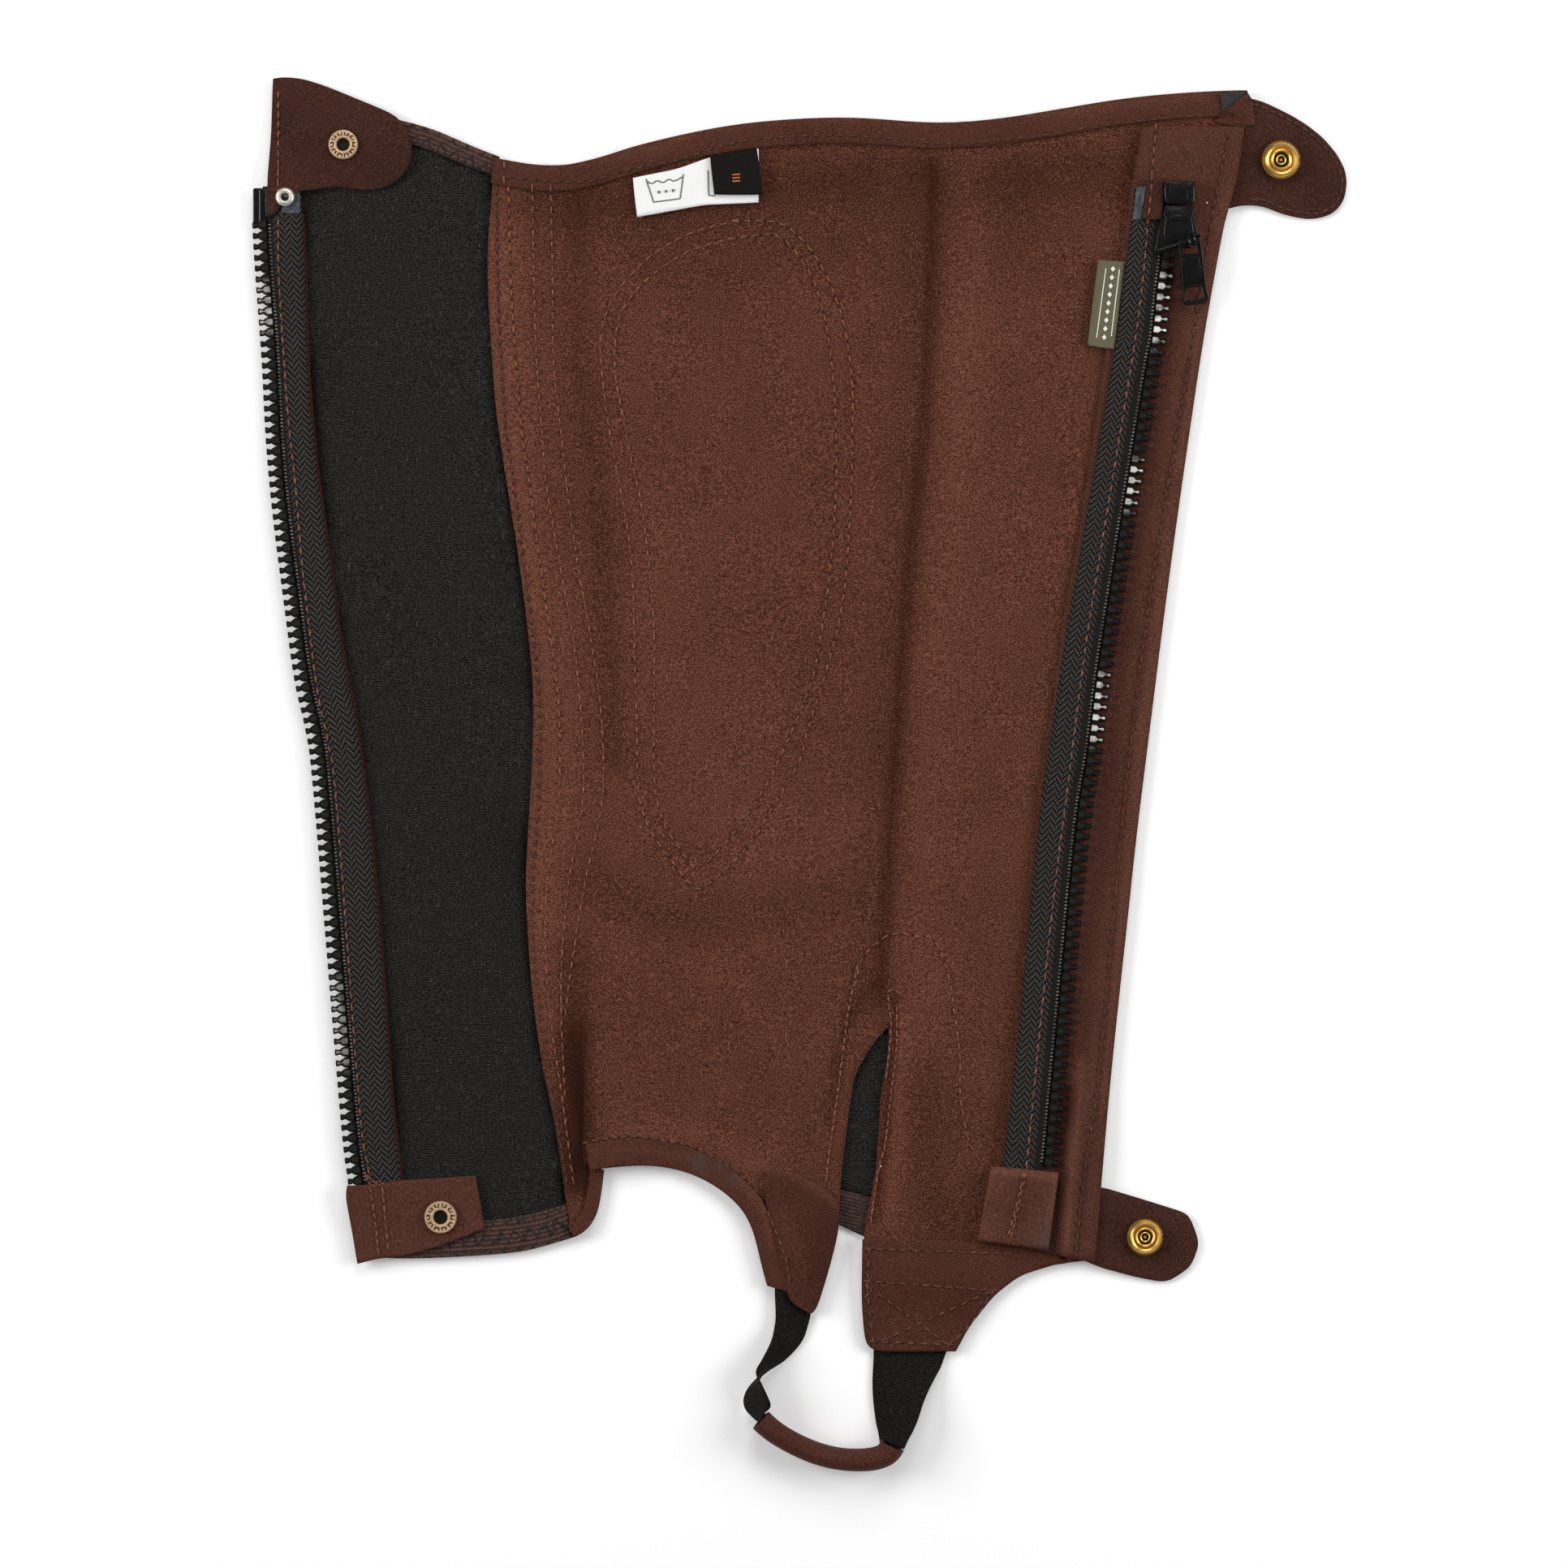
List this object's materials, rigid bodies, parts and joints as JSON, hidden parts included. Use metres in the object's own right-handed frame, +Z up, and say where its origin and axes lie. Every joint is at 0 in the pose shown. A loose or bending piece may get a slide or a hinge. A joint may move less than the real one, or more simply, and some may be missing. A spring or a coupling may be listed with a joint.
{
  "type": "riding half chap",
  "caption": "Brown suede half chap opened flat, inner side up, with a black stretch panel, an open moulded zip, snap tabs and a stirrup strap.",
  "frame": {"origin": "middle of the outline, at the surface that it lies on", "axes": "+Z up from the surface, +Y from the ankle strap to the calf edge, +X from the stretch panel to the snap sockets"},
  "size_m": [0.404, 0.5139, 0.0165],
  "materials": {
    "stretch_panel": "black ribbed stretch cloth",
    "ankle_gore": "black ribbed stretch cloth",
    "gore_hem": "brown ribbed elastic binding",
    "stretch_top_binding": "brown ribbed elastic binding",
    "stretch_bottom_binding": "brown ribbed elastic binding",
    "main_panel": "brown brushed microfibre suede",
    "top_binding": "darker brown microfibre suede trim",
    "instep_binding": "darker brown microfibre suede trim",
    "lobe_binding": "darker brown microfibre suede trim",
    "strap_left": "black ribbed stretch cloth",
    "strap_right": "black ribbed stretch cloth",
    "strap_sleeve": "darker brown microfibre suede trim",
    "left_tongue": "darker brown microfibre suede trim",
    "right_tongue": "darker brown microfibre suede trim",
    "tab_top_right": "darker brown microfibre suede trim",
    "tab_bottom_right": "darker brown microfibre suede trim",
    "placket": "darker brown microfibre suede trim",
    "side_label": "olive woven",
    "zip_tape_right": "black woven zip tape",
    "zip_chain_right": "glossy black moulding",
    "tape_top_patch": "darker brown microfibre suede trim",
    "zip_end_patch": "darker brown microfibre suede trim",
    "zip_edge_strip": "darker brown microfibre suede trim",
    "zip_tape_left": "black woven zip tape",
    "zip_chain_left": "glossy black moulding",
    "tab_top_left": "darker brown microfibre suede trim",
    "tab_bottom_left": "darker brown microfibre suede trim",
    "care_label": "white printed satin",
    "size_label": "black woven",
    "stud_top": "antique brass",
    "stud_bottom": "antique brass",
    "socket_top": "bright brass",
    "socket_bottom": "bright brass",
    "rivet": "silver",
    "zip_box": "glossy black moulding",
    "zip_pin": "glossy black moulding",
    "slider": "glossy black moulding",
    "pull_tab": "glossy black moulding"
  },
  "bodies": {
    "chap": {"stretch_panel": "stretch_panel", "ankle_gore": "ankle_gore", "gore_hem": "gore_hem", "stretch_top_binding": "stretch_top_binding", "stretch_bottom_binding": "stretch_bottom_binding", "main_panel": "main_panel", "top_binding": "top_binding", "instep_binding": "instep_binding", "lobe_binding": "lobe_binding", "strap_left": "strap_left", "strap_right": "strap_right", "strap_sleeve": "strap_sleeve", "left_tongue": "left_tongue", "right_tongue": "right_tongue", "tab_top_right": "tab_top_right", "tab_bottom_right": "tab_bottom_right", "placket": "placket", "side_label": "side_label", "zip_tape_right": "zip_tape_right", "zip_chain_right": "zip_chain_right", "tape_top_patch": "tape_top_patch", "zip_end_patch": "zip_end_patch", "zip_edge_strip": "zip_edge_strip", "zip_tape_left": "zip_tape_left", "zip_chain_left": "zip_chain_left", "tab_top_left": "tab_top_left", "tab_bottom_left": "tab_bottom_left", "care_label": "care_label", "size_label": "size_label", "stud_top": "stud_top", "stud_bottom": "stud_bottom", "socket_top": "socket_top", "socket_bottom": "socket_bottom", "rivet": "rivet", "zip_box": "zip_box", "zip_pin": "zip_pin", "slider": "slider"},
    "pull": {"pull_tab": "pull_tab"}
  },
  "joints": [
    {"name": "pull_hinge", "type": "hinge", "parent": "chap", "child": "pull", "pos_m": [0.1431, 0.1956, 0.0127], "axis": [-0.9917, -0.1288, 0], "range_deg": [0, 150]}
  ]
}
